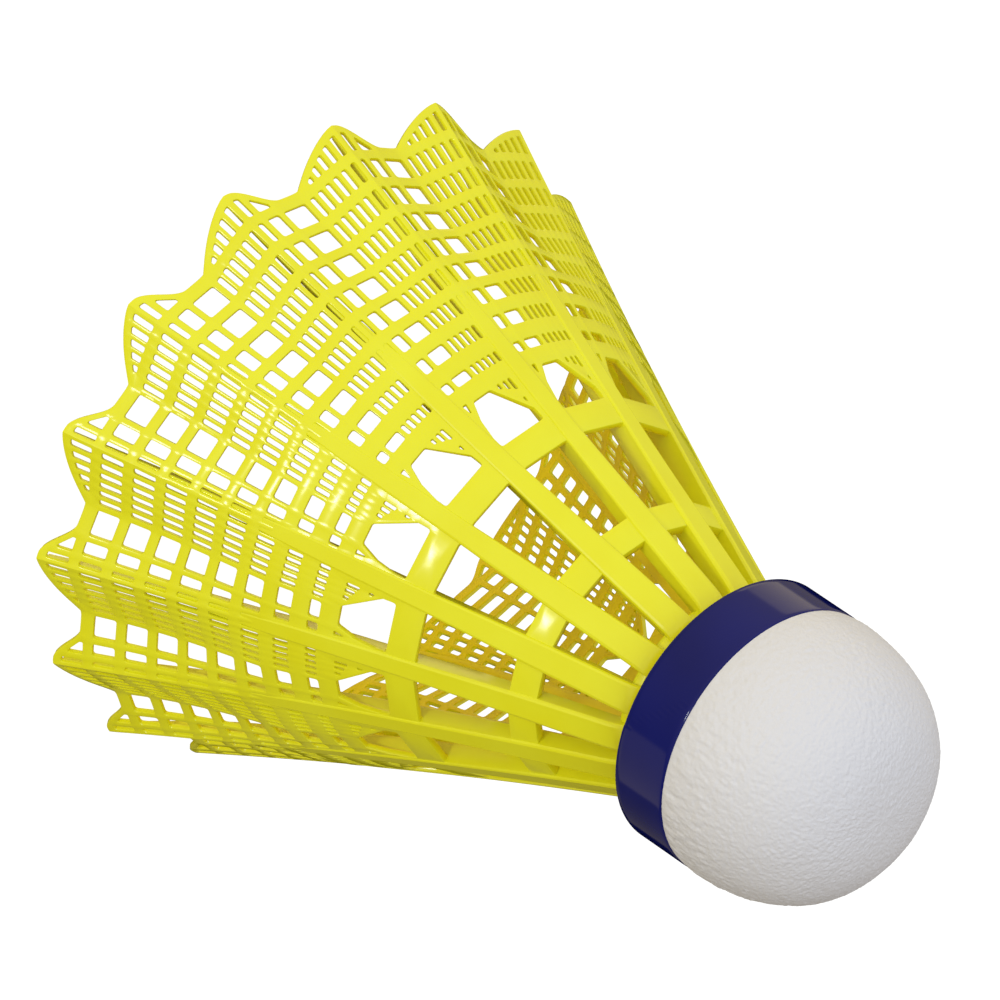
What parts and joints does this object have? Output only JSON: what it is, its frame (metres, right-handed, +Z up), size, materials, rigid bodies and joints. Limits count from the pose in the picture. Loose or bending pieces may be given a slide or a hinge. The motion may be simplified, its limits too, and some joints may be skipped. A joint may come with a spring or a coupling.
{
  "type": "badminton shuttlecock",
  "caption": "Moulded nylon badminton shuttlecock: ribbed, netted conical skirt with a scalloped rim, plugged into a leather-covered domed cork with a band.",
  "frame": {"origin": "centre of the circle that the tips of the skirt's rim stand on, on the shuttlecock's axis", "axes": "+Z up along the axis, from the open rim to the cork's dome; -Y through one of the ribs"},
  "size_m": [0.0658, 0.0658, 0.0749],
  "materials": {
    "skirt": "satin, slightly translucent yellow moulded nylon",
    "cork": "bare ground cork",
    "cover": "white leather with a fine grain",
    "band": "glossy dark blue tape"
  },
  "bodies": {
    "root": {"skirt_blade_01": "skirt", "skirt_blade_02": "skirt", "skirt_blade_03": "skirt", "skirt_blade_04": "skirt", "skirt_blade_05": "skirt", "skirt_blade_06": "skirt", "skirt_blade_07": "skirt", "skirt_blade_08": "skirt", "skirt_blade_09": "skirt", "skirt_blade_10": "skirt", "skirt_blade_11": "skirt", "skirt_blade_12": "skirt", "skirt_blade_13": "skirt", "skirt_blade_14": "skirt", "skirt_blade_15": "skirt", "skirt_blade_16": "skirt", "skirt_cage": "skirt", "cork_core": "cork", "cork_cover": "cover", "cork_band": "band"}
  },
  "joints": []
}
